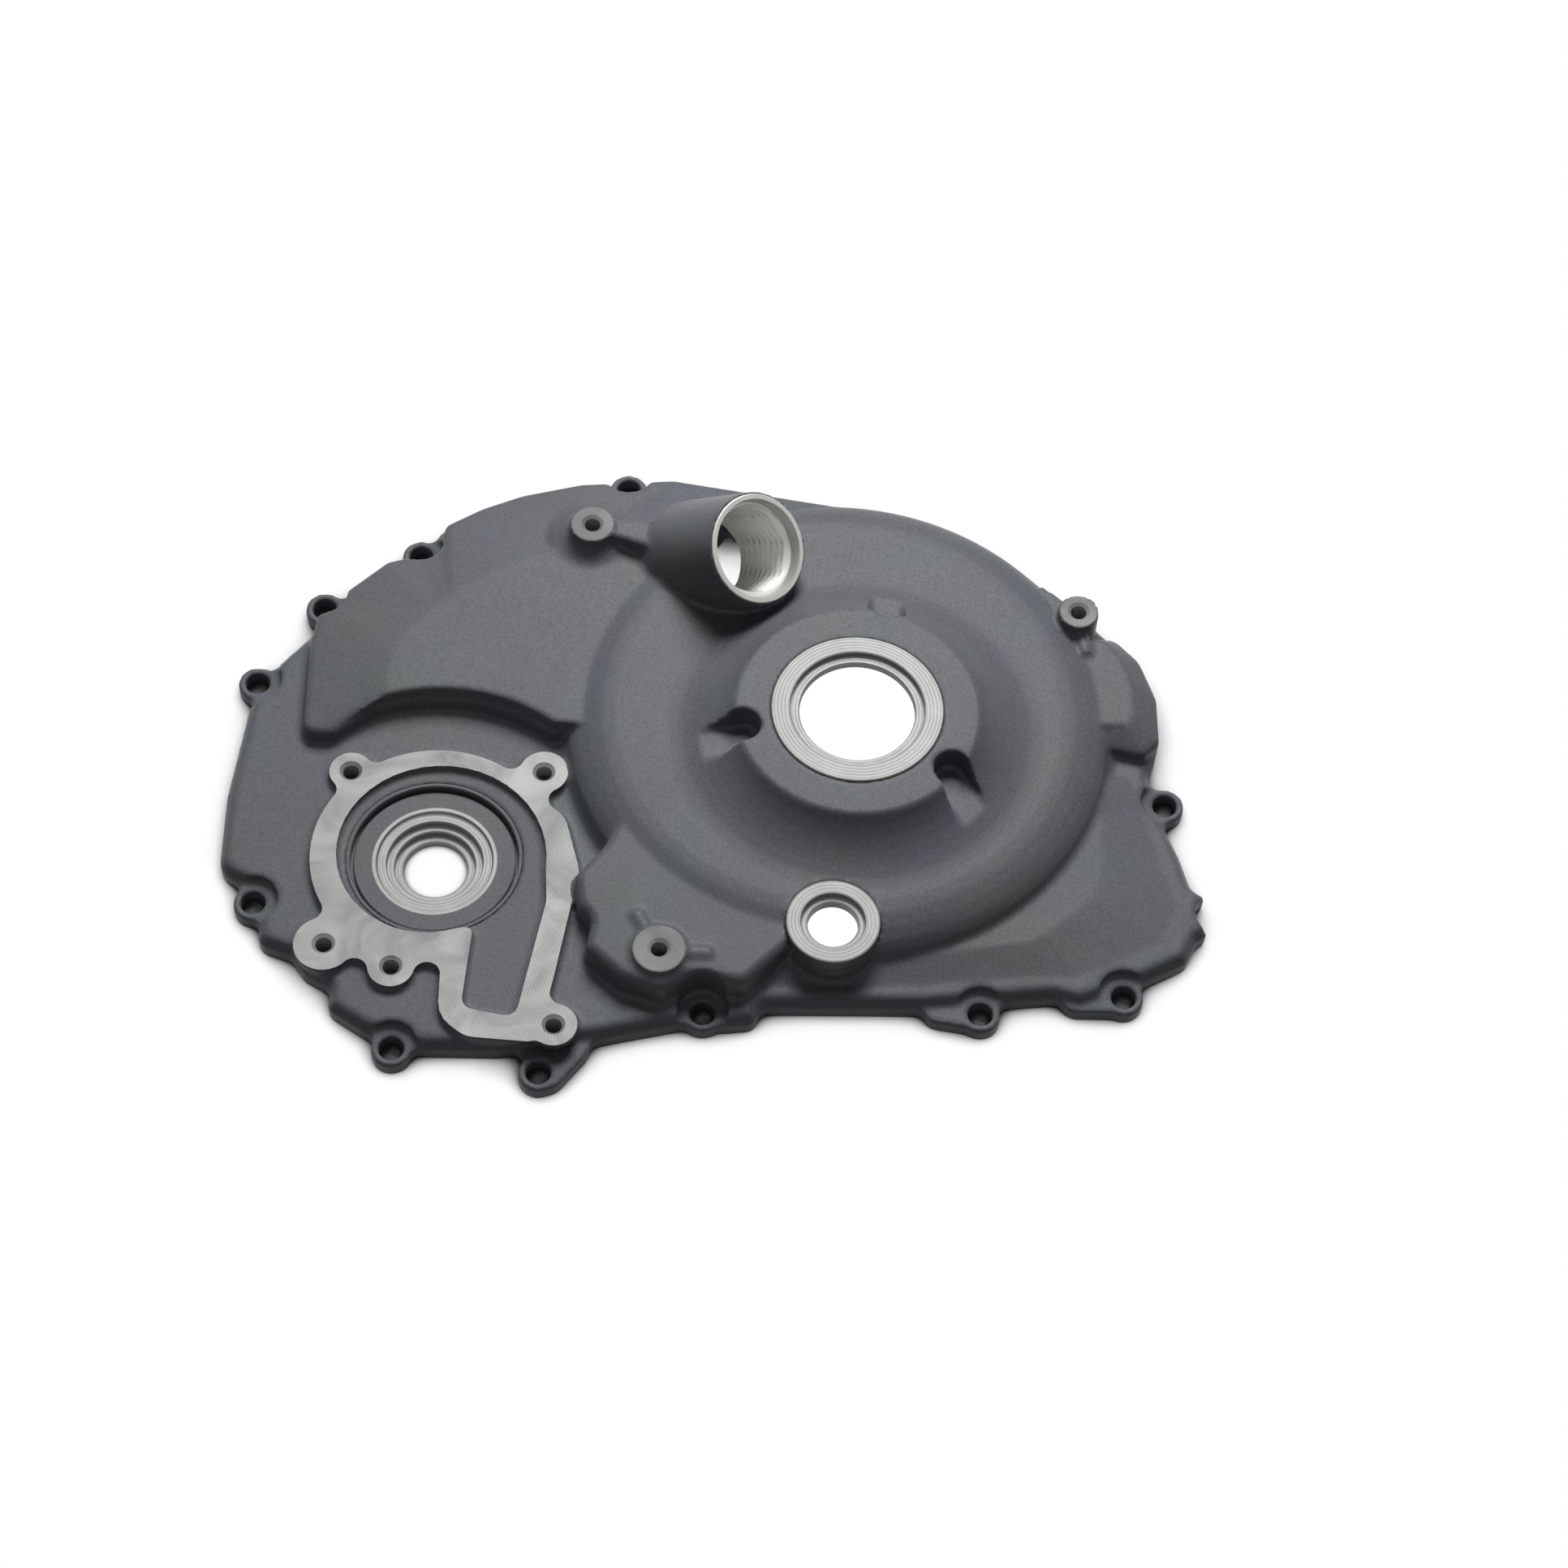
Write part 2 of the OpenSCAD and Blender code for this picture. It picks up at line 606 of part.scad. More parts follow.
// Hollow of the dome, open at the joint face
module dome_hollow() {
    foot_r = dome_r + dome_margin - joint_land - wall / 4;
    translate(dome_at) rotate_extrude()
        polygon(concat(
            [[0, -over], [foot_r, -over], [foot_r, shoulder_h - wall]],
            [for (t = shoulder_turns)
                [crest_r - wall + (foot_r - crest_r + wall / 2) * cos(t),
                 shoulder_h - wall + (crest_h - shoulder_h) * sin(t)]],
            [[0, crest_h - wall]]));
}

module boss_hollow() {
    difference() {
        translate([0, 0, crest_h - wall - over])
            cylinder(h = boss_h - crest_h + over, r1 = boss_r + flank_rise / 3, r2 = boss_r - wall);
        pockets(wall * pocket_wall_share);
    }
}

// Hollow of the skirt, kept clear of the pump's bearing housing and of the tapped holes
module skirt_hollow() {
    difference() {
        translate([0, 0, -over]) linear_extrude(skirt_h - wall + over)
            offset(r = wall / 2, $fn = 16) offset(delta = -wall / 2) difference() {
                inner_plan(0);
                translate(pump_at) circle(housing_r, $fn = 48);
                for (s = pad_hole_shares) translate(place(s)) circle(tap_r + wall, $fn = 20);
            }
        translate(concat(pump_at, disc_h - wall)) cylinder(h = boss_h, r = disc_r + wall);
    }
}

// The room inside the cover, open at the joint face
module inner_room() {
    skirt_hollow();
    deck_hollow(right_deck_crease, 0, right_deck_h - wall, wall / 2);
    deck_hollow(deck_points, wall + edge_round, deck_edge_h - wall, wall / 3);
    deck_hollow(deck_crease, wall, deck_h - wall, wall);
    difference() {
        deck_hollow(outline(rows_at(low_deck_shares)), wall + edge_round, low_deck_h - wall,
            wall / 4);
        translate(concat(place(front_boss_share), front_boss_h - tap_d - wall))
            cylinder(h = boss_h, r = tap_r + wall);
    }
    deck_hollow(block_top, 0, block_h - wall, wall / 5);
    dome_hollow();
    boss_hollow();
    translate(concat(place(sight_share), -over))
        cylinder(h = sight_h - 2 * glass_d, r = sight_r - wall);
}

module outer_form() {
    difference() {
        union() {
            skirt();
            right_deck();
            rear_deck();
            lower_deck();
            block();
            dome();
        }
        for (s = lug_shares)
            translate(concat(place(s), lug_h - over)) cylinder(h = boss_h, r = head_room_r);
    }
    linear_extrude(lug_h) flange_plan();
    difference() {
        boss();
        pockets(0);
    }
    neck();
    rear_boss();
    side_boss();
    front_boss();
    sight_seat();
    pad();
}

// A tapped hole and its mouth, below a face at the given height
module tapped_hole(share, face_h, depth) {
    translate(concat(place(share), face_h - depth)) cylinder(h = depth + over, r = tap_r);
    translate(concat(place(share), face_h - tap_mouth_d)) cylinder(h = boss_h, r = tap_mouth_r);
}

module bores() {
    pump_cuts();
    for (s = lug_shares)
        translate(concat(place(s), -over)) cylinder(h = lug_h + 2 * over, r = bolt_r);
    for (s = pad_hole_shares) tapped_hole(s, pad_h, tap_d);
    tapped_hole(front_boss_share, front_boss_h, tap_d);
    tapped_hole(rear_boss_share, rear_boss_h, tap_d);
    tapped_hole(side_boss_share, side_boss_h, tap_d);
    translate(concat(place(relief_share), -over)) cylinder(h = boss_h, r = relief_r);
    translate([0, 0, crest_h]) cylinder(h = boss_h, r = bore_r);
    translate([0, 0, boss_h + ring_rise - counter_d]) cylinder(h = boss_h, r = counter_r);
    along_neck() {
        translate([0, 0, filler_end - neck_len]) cylinder(h = neck_len, r = filler_r);
        translate([0, 0, -mouth_bevel])
            cylinder(h = mouth_bevel + over, r1 = filler_r, r2 = filler_r + mouth_bevel + over);
    }
    translate(concat(place(sight_share), lug_h)) cylinder(h = boss_h, r = sight_hole_r);
    translate(concat(place(sight_share), sight_h - glass_d)) cylinder(h = boss_h, r = glass_r);
}

module crankcase_cover() {
    color("dimgray") translate(-place(middle_share)) difference() {
        outer_form();
        inner_room();
        slab(-2 * over, 0);
        bores();
    }
}
crankcase_cover();
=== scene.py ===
import json
import math

import bmesh
import bpy
from mathutils import Matrix, Vector


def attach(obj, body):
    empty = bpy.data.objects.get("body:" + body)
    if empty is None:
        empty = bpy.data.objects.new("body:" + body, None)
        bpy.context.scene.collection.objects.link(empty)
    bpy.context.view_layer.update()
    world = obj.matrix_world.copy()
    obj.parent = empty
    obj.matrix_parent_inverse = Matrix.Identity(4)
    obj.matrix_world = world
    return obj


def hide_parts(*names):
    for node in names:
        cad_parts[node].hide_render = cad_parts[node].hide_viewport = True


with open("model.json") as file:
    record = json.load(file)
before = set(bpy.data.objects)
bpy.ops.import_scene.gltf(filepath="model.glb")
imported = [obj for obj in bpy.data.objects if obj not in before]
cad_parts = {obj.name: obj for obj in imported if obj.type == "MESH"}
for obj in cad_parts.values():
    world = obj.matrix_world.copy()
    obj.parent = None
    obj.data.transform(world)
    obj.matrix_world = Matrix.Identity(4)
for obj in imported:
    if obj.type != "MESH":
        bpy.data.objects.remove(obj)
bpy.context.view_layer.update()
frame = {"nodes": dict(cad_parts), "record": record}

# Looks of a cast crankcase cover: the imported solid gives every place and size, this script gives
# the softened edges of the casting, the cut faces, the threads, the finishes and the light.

MM = 0.001
COVER = "crankcase_cover"
PHOTO_PIXELS = 1932

# Cast surface
GRID = 0.75 * MM  # cell of the mesh that the casting is laid on
SOFTENING_PASSES = 7  # rounds of smoothing, which give edges a radius of about 1.5 mm
MOST_TRIANGLES = 190000
FIT = 0.05 * MM  # how far a cut piece reaches into the casting round it
BROKEN_EDGE = 0.3 * MM  # chamfer on a machined edge
WELD = 0.001 * MM  # corners nearer than this are one corner
SOLID_WELD = 0.002 * MM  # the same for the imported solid's loose triangles
ON_LEVEL = 0.01 * MM  # how near a corner lies to a level or a radius that it belongs to
SHARP_FROM = math.radians(35)  # edges that turn more than this stay crisp
FACING_UP = 0.9  # height of the normal of a level face, at least
UPRIGHT = 0.5  # height of the normal of a wall, at most
ROWS_PER_TURN = 8  # rows of corners that one turn of a thread gets

# Sizes of the patterns in the finishes. Real flakes of 0.05 mm, rings of 0.2 mm and arcs of 0.3 mm
# are too fine to show in the picture, so these three are drawn as coarse as they need to show.
PAINT_FLAKE = 0.8 * MM
LATHE_FEED = 1.1 * MM  # from ring to ring on a turned face
MILL_FEED = 0.9 * MM  # from arc to arc on a milled face
BLAST_GRAIN = 0.9 * MM  # the marks of the shot on the casting
PAINT_CLOUD, LATHE_CLOUD, MILL_CLOUD = 34 * MM, 7 * MM, 20 * MM  # slow changes of the shade
MILL_CENTRE = (-0.26, -0.15, 0.0)  # far to the side, so that the arcs are nearly straight
RINGS_PER_METRE = 3.14  # about what a wave texture of scale 1 draws

# Machined seats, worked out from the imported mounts
mounts = {m["name"]: m for m in frame["record"]["mounts"]}


def place(name):
    return Vector(mounts[name]["pos_m"])


def radius(name):
    return mounts[name]["dims"]["r_mm"] * MM


def length(name):
    return mounts[name]["dims"]["length_mm"] * MM


def foot(name):
    """The place on the joint face straight under a mount."""
    return Vector((*place(name).xy, 0))


def hex_colour(code):
    """An sRGB hex colour as linear red, green, blue and alpha."""
    parts = [int(code[i:i + 2], 16) / 255 for i in (1, 3, 5)]
    return [p / 12.92 if p <= 0.04045 else ((p + 0.055) / 1.055) ** 2.4 for p in parts] + [1.0]


def add_node(tree, kind, settings=None, **inputs):
    """Adds a node; an input is a value, or a socket of another node to link from."""
    node = tree.nodes.new(kind)
    for key, value in (settings or {}).items():
        setattr(node, key, value)
    for key, value in inputs.items():
        numbered = key[0] == "i" and key[1:].isdigit()
        socket = node.inputs[int(key[1:]) if numbered else key.replace("_", " ")]
        if isinstance(value, bpy.types.NodeSocket):
            tree.links.new(value, socket)
        else:
            socket.default_value = value
    return node


def new_material(name):
    """A material with an empty node tree."""
    material = bpy.data.materials.new(name)
    material.use_nodes = True
    tree = material.node_tree
    tree.nodes.clear()
    return material, tree


def wave_scale(spacing):
    """Scale of a wave texture whose rings lie this far apart."""
    return 1 / spacing / RINGS_PER_METRE


def satin_paint():
    """Die-cast aluminium under a satin dark metallic paint: the fine shot-blasted grain of the
    casting shows through it, and tiny flakes give it a cool sparkle."""
    material, tree = new_material("satin_paint_on_die_casting")
    place_on = add_node(tree, "ShaderNodeTexCoord").outputs["Object"]
    grain = add_node(tree, "ShaderNodeTexNoise", Vector=place_on, Scale=1 / BLAST_GRAIN, Detail=4.0,
                     Roughness=0.65)
    cloud = add_node(tree, "ShaderNodeTexNoise", Vector=place_on, Scale=1 / PAINT_CLOUD, Detail=2.0)
    speck = add_node(tree, "ShaderNodeTexVoronoi", Vector=place_on, Scale=1 / PAINT_FLAKE)
    shade = add_node(tree, "ShaderNodeValToRGB", Fac=grain.outputs["Fac"])
    for stop, at, code in zip(shade.color_ramp.elements, (0.3, 0.72), ("#66686d", "#7f8188")):
        stop.position, stop.color = at, hex_colour(code)
    tint = add_node(tree, "ShaderNodeMix", {"data_type": "RGBA", "blend_type": "MULTIPLY"},
                    i0=0.25, i6=shade.outputs["Color"], i7=cloud.outputs["Color"])
    gloss = add_node(tree, "ShaderNodeMapRange", Value=speck.outputs["Distance"], To_Min=0.36,
                     To_Max=0.48)
    bump = add_node(tree, "ShaderNodeBump", Strength=0.35, Distance=0.06 * MM,
                    Height=grain.outputs["Fac"])
    skin = add_node(tree, "ShaderNodeBsdfPrincipled", Base_Color=tint.outputs[2],
                    Specular_IOR_Level=0.17, Roughness=gloss.outputs[0], Normal=bump.outputs[0])
    add_node(tree, "ShaderNodeOutputMaterial", Surface=skin.outputs[0])
    return material


def turned_aluminium(name, axis_place, tilt=None, dark="#7c7c7b", light="#939391"):
    """Bare aluminium from the lathe or the boring head: fine rings round the axis."""
    material, tree = new_material(name)
    place_on = add_node(tree, "ShaderNodeTexCoord").outputs["Object"]
    centred = add_node(tree, "ShaderNodeMapping", {"vector_type": "TEXTURE"}, Vector=place_on,
                       Location=tuple(axis_place), Rotation=tuple(tilt or (0, 0, 0)))
    rings = add_node(tree, "ShaderNodeTexWave",
                     {"wave_type": "RINGS", "rings_direction": "Z", "wave_profile": "SIN"},
                     Vector=centred.outputs[0], Scale=wave_scale(LATHE_FEED), Distortion=1.2,
                     Detail=2.0)
    cloud = add_node(tree, "ShaderNodeTexNoise", Vector=place_on, Scale=1 / LATHE_CLOUD, Detail=3.0)
    shade = add_node(tree, "ShaderNodeMix", {"data_type": "RGBA"}, i0=cloud.outputs["Fac"],
                     i6=hex_colour(dark), i7=hex_colour(light))
    gloss = add_node(tree, "ShaderNodeMapRange", Value=rings.outputs["Fac"], To_Min=0.5, To_Max=0.6)
    bump = add_node(tree, "ShaderNodeBump", Strength=0.15, Distance=0.02 * MM,
                    Height=rings.outputs["Fac"])
    skin = add_node(tree, "ShaderNodeBsdfPrincipled", Base_Color=shade.outputs[2], Metallic=0.6,
                    Roughness=gloss.outputs[0], Normal=bump.outputs[0])
    add_node(tree, "ShaderNodeOutputMaterial", Surface=skin.outputs[0])
    return material


def milled_aluminium(name, dark, light):
    """Bare aluminium from a face mill: fine sweeping arcs under a soft cloudy sheen."""
    material, tree = new_material(name)
    place_on = add_node(tree, "ShaderNodeTexCoord").outputs["Object"]
    centred = add_node(tree, "ShaderNodeMapping", {"vector_type": "TEXTURE"}, Vector=place_on,
                       Location=MILL_CENTRE)
    sweep = add_node(tree, "ShaderNodeTexWave",
                     {"wave_type": "RINGS", "rings_direction": "Z", "wave_profile": "SAW"},
                     Vector=centred.outputs[0], Scale=wave_scale(MILL_FEED), Distortion=2.0,
                     Detail=3.0)
    cloud = add_node(tree, "ShaderNodeTexNoise", Vector=place_on, Scale=1 / MILL_CLOUD, Detail=5.0,
                     Distortion=1.2)
    patch = add_node(tree, "ShaderNodeMapRange", Value=cloud.outputs["Fac"], From_Min=0.3,
                     From_Max=0.7)
    shade = add_node(tree, "ShaderNodeMix", {"data_type": "RGBA"}, i0=patch.outputs[0],
                     i6=hex_colour(dark), i7=hex_colour(light))
    gloss = add_node(tree, "ShaderNodeMapRange", Value=sweep.outputs["Fac"], To_Min=0.54,
                     To_Max=0.64)
    bump = add_node(tree, "ShaderNodeBump", Strength=0.12, Distance=0.01 * MM,
                    Height=sweep.outputs["Fac"])
    skin = add_node(tree, "ShaderNodeBsdfPrincipled", Base_Color=shade.outputs[2], Metallic=0.6,
                    Roughness=gloss.outputs[0], Normal=bump.outputs[0])
    add_node(tree, "ShaderNodeOutputMaterial", Surface=skin.outputs[0])
    return material


def finished(bm, name, material, picked=None, second=None):
    """Makes the bmesh a piece of the cover, closed, facing outwards and riding on its body. Faces
    that the test `picked` names get the second material, or else keep the casting's paint."""
    bmesh.ops.remove_doubles(bm, verts=bm.verts, dist=WELD)
    bmesh.ops.recalc_face_normals(bm, faces=bm.faces)
    mesh = bpy.data.meshes.new(name)
    for face in bm.faces:
        face.smooth = True
        face.material_index = 1 if picked and picked(face) else 0
    for edge in bm.edges:
        edge.smooth = len(edge.link_faces) == 2 and edge.calc_face_angle(0) < SHARP_FROM
    bm.to_mesh(mesh)
    bm.free()
    mesh.materials.append(material)
    if picked:
        mesh.materials.append(second or paint)
    piece = bpy.data.objects.new(name, mesh)
    bpy.context.scene.collection.objects.link(piece)
    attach(piece, "root")


def turned(profile, steps=128):
    """A bmesh spun about +Z from a closed profile of (radius, height) corners."""
    bm = bmesh.new()
    corners = [bm.verts.new((r, 0, z)) for r, z in profile]
    edges = [bm.edges.new((a, b)) for a, b in zip(corners, corners[1:] + corners[:1])]
    bmesh.ops.spin(bm, geom=corners + edges, cent=(0, 0, 0), axis=(0, 0, 1), dvec=(0, 0, 0),
                   angle=2 * math.pi, steps=steps, use_merge=True, use_duplicate=False)
    return bm


def thread_rows(r, high, low, pitch):
    """Rows of a turned profile, close enough together to hold a thread."""
    count = round(ROWS_PER_TURN * (high - low) / pitch)
    return [(r, high + (low - high) * k / count) for k in range(count + 1)]


def cut_thread(bm, r, high, low, pitch, groove):
    """Moves the wall at radius r outwards along a helix, so that it holds a thread."""
    for v in bm.verts:
        flat = math.hypot(v.co.x, v.co.y)
        if abs(flat - r) < ON_LEVEL and low <= v.co.z <= high:
            phase = (v.co.z / pitch + math.atan2(v.co.y, v.co.x) / (2 * math.pi)) % 1
            share = 1 + groove / r * (1 - abs(2 * phase - 1))
            v.co.x, v.co.y = v.co.x * share, v.co.y * share


def applied(piece, **modifiers):
    """Runs modifiers on a piece, one after the other, and keeps the mesh they give."""
    for kind, settings in modifiers.items():
        step = piece.modifiers.new(kind, kind)
        for key, value in settings.items():
            setattr(step, key, value)
    graph = bpy.context.evaluated_depsgraph_get()
    mesh = bpy.data.meshes.new_from_object(piece.evaluated_get(graph))
    piece.modifiers.clear()
    old, piece.data = piece.data, mesh
    bpy.data.meshes.remove(old)


def plain_object(bm, name):
    """Makes an object in the scene from a bmesh and frees the bmesh."""
    mesh = bpy.data.meshes.new(name)
    bm.to_mesh(mesh)
    bm.free()
    made = bpy.data.objects.new(name, mesh)
    bpy.context.scene.collection.objects.link(made)
    return made


def join_to(whole, bm):
    """Adds one bmesh to another and frees it."""
    made = bpy.data.meshes.new("one_part")
    bm.to_mesh(made)
    bm.free()
    whole.from_mesh(made)
    bpy.data.meshes.remove(made)


def add_cutter(cuts, profile, matrix):
    """Adds a solid of revolution to a bmesh of cutters, from steps of (radius, low end), the
    lowest first, up to the height of the last entry."""
    steps, top = profile[:-1], profile[-1]
    ends = [low for _, low in steps[1:]] + [top]
    wall = [corner for (r, low), end in zip(steps, ends) for corner in ((r, low), (r, end))]
    bm = turned([(0, steps[0][1])] + wall + [(0, top)], steps=96)
    bmesh.ops.remove_doubles(bm, verts=bm.verts, dist=WELD)
    bmesh.ops.recalc_face_normals(bm, faces=bm.faces)
    bmesh.ops.transform(bm, verts=bm.verts, matrix=matrix)
    join_to(cuts, bm)


paint = satin_paint()
milled = milled_aluminium("face_milled_aluminium", "#747676", "#9b9d9a")
dull = milled_aluminium("dull_face_milled_aluminium", "#585a5a", "#727472")

# Central boss: the machined ring, its counterbore and the bore under it
boss = foot("central_bore")
bore_r, counter_r = radius("central_bore"), radius("central_counterbore")
ring_top = place("boss_ring_face").z
counter_floor = ring_top - length("central_counterbore")
bore_end = counter_floor - length("central_bore")
ring_r = 26.4 * MM  # outside of the bare ring

# Sight-glass seat
sight = foot("sight_hole")
sight_top = place("sight_seat_face").z
sight_floor = sight_top - length("sight_counterbore")
sight_end = sight_floor - length("sight_hole")
sight_r = 14.1 * MM  # outside of the seat
glass_r, sight_hole_r = radius("sight_counterbore"), radius("sight_hole")

# Pump seat
pump = foot("bearing_bore")
shaft_r, bearing_r, seal_r = radius("pump_shaft_bore"), radius("bearing_bore"), radius("seal_bore")
bearing_floor = length("pump_shaft_bore")
seal_floor = bearing_floor + length("bearing_bore")
seal_top = seal_floor + length("seal_bore")
pad_top = place("pump_gasket_face").z
pad_reach = 80 * MM  # no part of the gasket face lies farther than this from the pump's axis
gasket_lift = 0.12 * MM  # how far the milled face stands above the casting under it
seal_ring_r = 19 * MM  # outside of the bare ring round the shaft seal
seal_ramp = [1.2 * MM, 1.5 * MM, 1.7 * MM]  # the ring's inner slope, inwards from its outside
seal_ramp_foot = 0.2 * MM
disc_top, disc_r = 7.2 * MM, 25.5 * MM
groove_floor, groove_r = 6 * MM, 24.6 * MM  # the groove between the disc and the scroll's floor
scroll_top, scroll_r, scroll_under = 9.1 * MM, 26.6 * MM, 4.4 * MM

# Filler neck: its mouth, and the coarse thread for the filler cap below the mouth's bevel
neck_axis = Vector(mounts["filler_bore"]["axis"]).normalized()
filler_r, bevel_r = radius("filler_bore"), 15.6 * MM
rim_r = 17.8 * MM - 2 * BROKEN_EDGE  # the bare mouth ends just inside the neck's painted edge
bevel_depth, thread_depth, thread_pitch = 2.6 * MM, 30 * MM, 3 * MM
neck = place("filler_bore") + neck_axis * (length("filler_bore") / 2 + bevel_depth)
neck_turn = neck_axis.to_track_quat("Z", "Y").to_matrix().to_4x4()
thread_groove, sleeve_r = 2.0 * MM, filler_r + 2.7 * MM
thread_run_in, thread_start = 1.5 * MM, 0.3 * MM

# Tapped holes: each is lined from its bevelled mouth down to the end of its thread, and the faced
# top of a screw boss reaches out to the radius given
tapped = [name for name in mounts if "_screw" in name]
tap_r, tap_mouth_r, tap_bevel = radius(tapped[0]), 3.5 * MM, 0.8 * MM
tap_pitch, tap_groove, tap_start = 1 * MM, 0.3 * MM, 0.1 * MM
faced_reach = {"front_boss_screw": 7.9 * MM, "rear_boss_screw": 6.8 * MM,
               "side_boss_screw": 6.0 * MM}
lining_reach = 4.3 * MM


def face_height(name):
    """The level of the face that a tapped hole opens in."""
    return place(name).z + length(name) / 2 + tap_bevel


def thread_end(name):
    """The level that a tapped hole's thread runs down to."""
    return place(name).z - length(name) / 2


def cast_shell():
    """The casting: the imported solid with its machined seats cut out, relaid on an even grid and
    smoothed, so that every edge and corner has the radius that a casting needs."""
    bm = bmesh.new()
    bm.from_mesh(frame["nodes"][COVER].data)
    bmesh.ops.remove_doubles(bm, verts=bm.verts, dist=SOLID_WELD)
    shell = plain_object(bm, "cast_shell")
    cuts = bmesh.new()
    at = Matrix.Translation
    add_cutter(cuts, [(ring_r - FIT, bore_end - MM), ring_top + MM], at(boss))
    add_cutter(cuts, [(sight_r - FIT, sight_end - MM), sight_top + MM], at(sight))
    add_cutter(cuts, [(seal_ring_r - FIT, -MM), (scroll_r - FIT, scroll_under), pad_top + MM],
               at(pump))
    add_cutter(cuts, [(sleeve_r - FIT, -thread_depth), (rim_r - FIT, -bevel_depth), 2 * MM],
               at(neck) @ neck_turn)
    for name in tapped:
        top = face_height(name)
        steps = [(lining_reach - FIT, thread_end(name))]
        if name in faced_reach:
            steps.append((faced_reach[name] - FIT, top - MM))
        add_cutter(cuts, steps + [top + MM], at(foot(name)))
    cutter = plain_object(cuts, "seat_cutter")
    applied(shell, BOOLEAN={"object": cutter, "operation": "DIFFERENCE", "solver": "EXACT"})
    bpy.data.objects.remove(cutter)
    applied(shell, REMESH={"mode": "VOXEL", "voxel_size": GRID},
            SMOOTH={"factor": 0.5, "iterations": SOFTENING_PASSES})
    triangles = sum(len(p.vertices) - 2 for p in shell.data.polygons)
    applied(shell, DECIMATE={"ratio": min(1.0, MOST_TRIANGLES / triangles)})
    for polygon in shell.data.polygons:
        polygon.use_smooth = True
    shell.data.materials.clear()
    shell.data.materials.append(paint)
    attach(shell, "root")
    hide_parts(COVER)


cast_shell()


def boss_ring():
    bm = turned([
        (ring_r, bore_end), (ring_r, ring_top - BROKEN_EDGE), (ring_r - BROKEN_EDGE, ring_top),
        (counter_r + BROKEN_EDGE, ring_top), (counter_r, ring_top - BROKEN_EDGE),
        (counter_r, counter_floor), (bore_r + BROKEN_EDGE, counter_floor),
        (bore_r, counter_floor - BROKEN_EDGE), (bore_r, bore_end)], steps=192)
    bmesh.ops.translate(bm, verts=bm.verts, vec=boss)
    finished(bm, "boss_ring", turned_aluminium("turned_ring", boss))


def sight_seat():
    bm = turned([
        (sight_r, sight_end), (sight_r, sight_top - BROKEN_EDGE),
        (sight_r - BROKEN_EDGE, sight_top), (glass_r + BROKEN_EDGE, sight_top),
        (glass_r, sight_top - BROKEN_EDGE), (glass_r, sight_floor),
        (sight_hole_r + BROKEN_EDGE, sight_floor), (sight_hole_r, sight_floor - BROKEN_EDGE),
        (sight_hole_r, sight_end)])
    bmesh.ops.translate(bm, verts=bm.verts, vec=sight)
    finished(bm, "sight_seat", turned_aluminium("turned_sight_seat", sight),
             lambda face: face.normal.z < UPRIGHT
             and (face.calc_center_median() - sight).xy.length > glass_r + MM)


def pump_bore():
    bm = turned([
        (seal_ring_r, 0), (seal_ring_r, scroll_under), (scroll_r, scroll_under),
        (scroll_r, scroll_top), (disc_r + BROKEN_EDGE, scroll_top),
        (disc_r, scroll_top - BROKEN_EDGE), (disc_r, groove_floor), (groove_r, groove_floor),
        (groove_r, disc_top - BROKEN_EDGE), (groove_r - BROKEN_EDGE, disc_top),
        (seal_ring_r, disc_top), (seal_ring_r - seal_ramp[0], disc_top),
        (seal_ring_r - seal_ramp[1], seal_top + seal_ramp_foot),
        (seal_ring_r - seal_ramp[2], seal_top),
        (seal_r + BROKEN_EDGE, seal_top), (seal_r, seal_top - BROKEN_EDGE), (seal_r, seal_floor),
        (bearing_r + BROKEN_EDGE, seal_floor), (bearing_r, seal_floor - BROKEN_EDGE),
        (bearing_r, bearing_floor), (shaft_r + BROKEN_EDGE, bearing_floor),
        (shaft_r, bearing_floor - BROKEN_EDGE), (shaft_r, 0)])
    bmesh.ops.translate(bm, verts=bm.verts, vec=pump)
    finished(bm, "pump_bore", turned_aluminium("turned_pump_bore", pump),
             lambda face: (face.calc_center_median() - pump).xy.length > seal_ring_r)


def gasket_face():
    """The milled face round the pump seat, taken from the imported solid's own level face."""
    bm = bmesh.new()
    bm.from_mesh(frame["nodes"][COVER].data)
    bmesh.ops.remove_doubles(bm, verts=bm.verts, dist=SOLID_WELD)
    others = [f for f in bm.faces
              if max(abs(v.co.z - pad_top) for v in f.verts) > ON_LEVEL or f.normal.z < FACING_UP
              or (f.calc_center_median() - pump).length > pad_reach]
    bmesh.ops.delete(bm, geom=others, context="FACES")
    lifted = bmesh.ops.extrude_face_region(bm, geom=bm.faces[:])
    upper = [v for v in lifted["geom"] if isinstance(v, bmesh.types.BMVert)]
    bmesh.ops.translate(bm, verts=upper, vec=(0, 0, gasket_lift))
    finished(bm, "gasket_face", milled)


def filler_mouth():
    """The bare mouth of the filler neck with its wide bevel, and the thread for the filler cap."""
    thread_top = -bevel_depth - thread_run_in
    bm = turned([
        (sleeve_r, -thread_depth), (sleeve_r, -bevel_depth), (rim_r, -bevel_depth),
        (rim_r, -BROKEN_EDGE), (rim_r - BROKEN_EDGE, 0), (bevel_r, 0),
        (filler_r + thread_groove, -bevel_depth), (filler_r + thread_groove, thread_top),
        *thread_rows(filler_r, thread_top - thread_start, -thread_depth, thread_pitch)], steps=96)
    cut_thread(bm, filler_r, thread_top, -thread_depth, thread_pitch, thread_groove)
    bmesh.ops.transform(bm, verts=bm.verts, matrix=Matrix.Translation(neck) @ neck_turn)
    # The mouth's aluminium is drawn much lighter than the other turned faces: a painted highlight
    # for the light that its bevel catches
    finished(bm, "filler_mouth", turned_aluminium("turned_filler_mouth_with_painted_highlight", neck,
                                                  neck_turn.to_euler(), "#c6c5c0", "#dbdad6"))


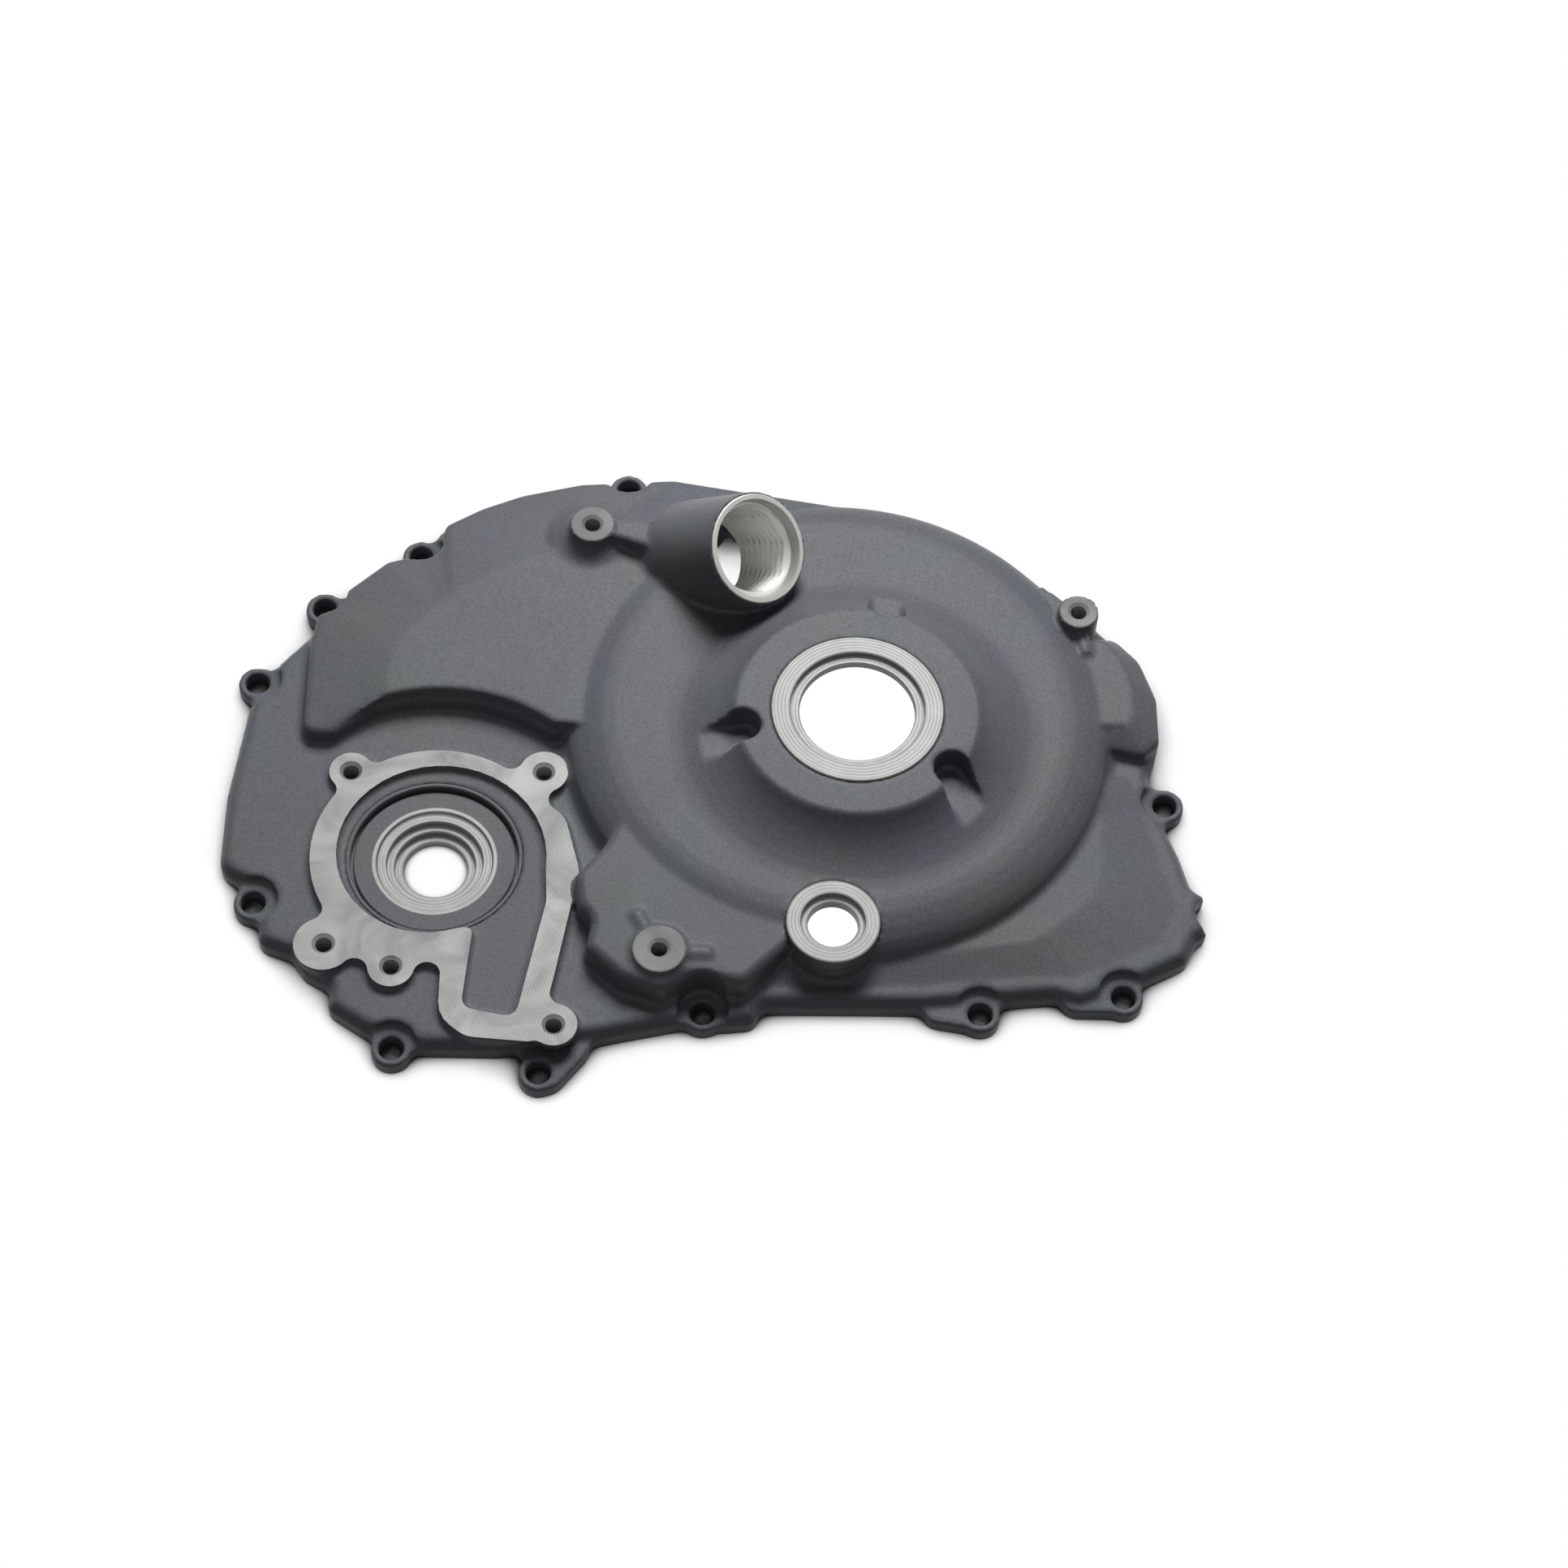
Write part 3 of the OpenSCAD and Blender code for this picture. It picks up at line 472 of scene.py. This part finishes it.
def tapped_linings():
    """The threads in the screw holes, with the faced tops of the screw bosses round them."""
    threads = bmesh.new()
    for name in tapped:
        top, low = face_height(name), thread_end(name)
        thread_top = top - tap_bevel
        shoulder = [(faced_reach[name], top - MM), (faced_reach[name], top - BROKEN_EDGE),
                    (faced_reach[name] - BROKEN_EDGE, top)] if name in faced_reach else []
        bm = turned([(lining_reach, low),
                     (lining_reach, top - MM if shoulder else top), *shoulder, (tap_mouth_r, top),
                     *thread_rows(tap_r, thread_top, low, tap_pitch)], steps=40)
        cut_thread(bm, tap_r, thread_top - tap_start, low, tap_pitch, tap_groove)
        bmesh.ops.translate(bm, verts=bm.verts, vec=foot(name))
        join_to(threads, bm)
    finished(threads, "tapped_linings", milled, lambda face: face.normal.z > FACING_UP, dull)


boss_ring()
sight_seat()
pump_bore()
gasket_face()
filler_mouth()
tapped_linings()


def seen_as_background(tree):
    """1 for the rays that show the background: the camera's, and those of gloss and glass."""
    rays = add_node(tree, "ShaderNodeLightPath").outputs
    first = add_node(tree, "ShaderNodeMath", {"operation": "ADD", "use_clamp": True},
                     i0=rays["Is Camera Ray"], i1=rays["Is Glossy Ray"])
    return add_node(tree, "ShaderNodeMath", {"operation": "ADD", "use_clamp": True},
                    i0=first.outputs[0], i1=rays["Is Transmission Ray"]).outputs[0]


def pale_floor():
    """Matt pale studio paper, which the camera sees as white, with a soft shadow of the cover
    painted into that white by ambient occlusion.
    """
    shadow_reach, floor_half = 14 * MM, 6
    material, tree = new_material("matt_studio_paper")
    # Painted shadow: the white that the camera sees is dimmed where little open sky reaches the
    # paper, in the small holes, under the cover's edges and close round it
    open_sky = add_node(tree, "ShaderNodeAmbientOcclusion", Distance=shadow_reach)
    lit = add_node(tree, "ShaderNodeMapRange", Value=open_sky.outputs["AO"], From_Min=0.4,
                   From_Max=0.8)
    paper = add_node(tree, "ShaderNodeBsdfDiffuse", Color=hex_colour("#6a6a6a"))
    glow = add_node(tree, "ShaderNodeEmission", Color=(1, 1, 1, 1), Strength=1.0)
    amount = add_node(tree, "ShaderNodeMath", {"operation": "MULTIPLY"},
                      i0=seen_as_background(tree), i1=lit.outputs[0])
    both = add_node(tree, "ShaderNodeMixShader", i0=amount.outputs[0], i1=paper.outputs[0],
                    i2=glow.outputs[0])
    add_node(tree, "ShaderNodeOutputMaterial", Surface=both.outputs[0])
    bm = bmesh.new()
    bmesh.ops.create_grid(bm, x_segments=1, y_segments=1, size=floor_half)
    floor = plain_object(bm, "floor")
    floor.data.materials.append(material)


def soft_box(name, at, size, watts):
    """A square lamp that faces the cover."""
    lamp = bpy.data.lights.new(name, "AREA")
    lamp.size, lamp.energy = size, watts
    box = bpy.data.objects.new(name, lamp)
    box.location = at
    box.rotation_euler = (-Vector(at)).to_track_quat("-Z", "Y").to_euler()
    bpy.context.scene.collection.objects.link(box)


def studio():
    """A large soft lamp behind and above the cover, a weak one in front, and a bright backdrop
    that adds little light of its own."""
    sky_light, sky_seen = 0.05, 0.95
    pale_floor()
    soft_box("back_soft_box", at=(0.1, 0.85, 1.09), size=0.6, watts=15.5)
    soft_box("front_fill", at=(-0.7, -0.9, 0.9), size=1.0, watts=0.2)
    world = bpy.data.worlds.new("studio")
    bpy.context.scene.world = world
    world.use_nodes = True
    tree = world.node_tree
    strength = add_node(tree, "ShaderNodeMapRange", Value=seen_as_background(tree),
                        To_Min=sky_light, To_Max=sky_seen)
    tree.nodes["Background"].inputs["Color"].default_value = (1, 1, 1, 1)
    tree.links.new(strength.outputs[0], tree.nodes["Background"].inputs["Strength"])
    bpy.context.scene.view_settings.view_transform = "Standard"


def camera_as_in_photo():
    """The photograph's own view: the cover's axes as they lie in it, its distance and its lens."""
    x_axis, y_axis, z_axis = (Vector((0.99940, 0.01869, 0.02923)),
                              Vector((0, -0.84245, 0.53877)),
                              Vector((0.03470, -0.53845, -0.84195)))
    boss_seen_at = Vector((21.440, -6.824, 1117.070)) * MM
    focal_pixels = 4400  # the lens's focal length in pixels of the photograph
    seen = Matrix((x_axis, y_axis, z_axis)).transposed()
    flip = Matrix(((1, 0, 0), (0, -1, 0), (0, 0, -1)))
    turn = (flip @ seen).transposed()
    data = bpy.data.cameras.new("photo_camera")
    data.sensor_width = 36
    data.lens = focal_pixels / PHOTO_PIXELS * data.sensor_width
    data.clip_start, data.clip_end = 0.01, 50
    camera = bpy.data.objects.new("photo_camera", data)
    camera.matrix_world = (Matrix.Translation(boss - seen.transposed() @ boss_seen_at)
                           @ turn.to_4x4())
    bpy.context.scene.collection.objects.link(camera)
    bpy.context.scene.camera = camera


studio()
camera_as_in_photo()
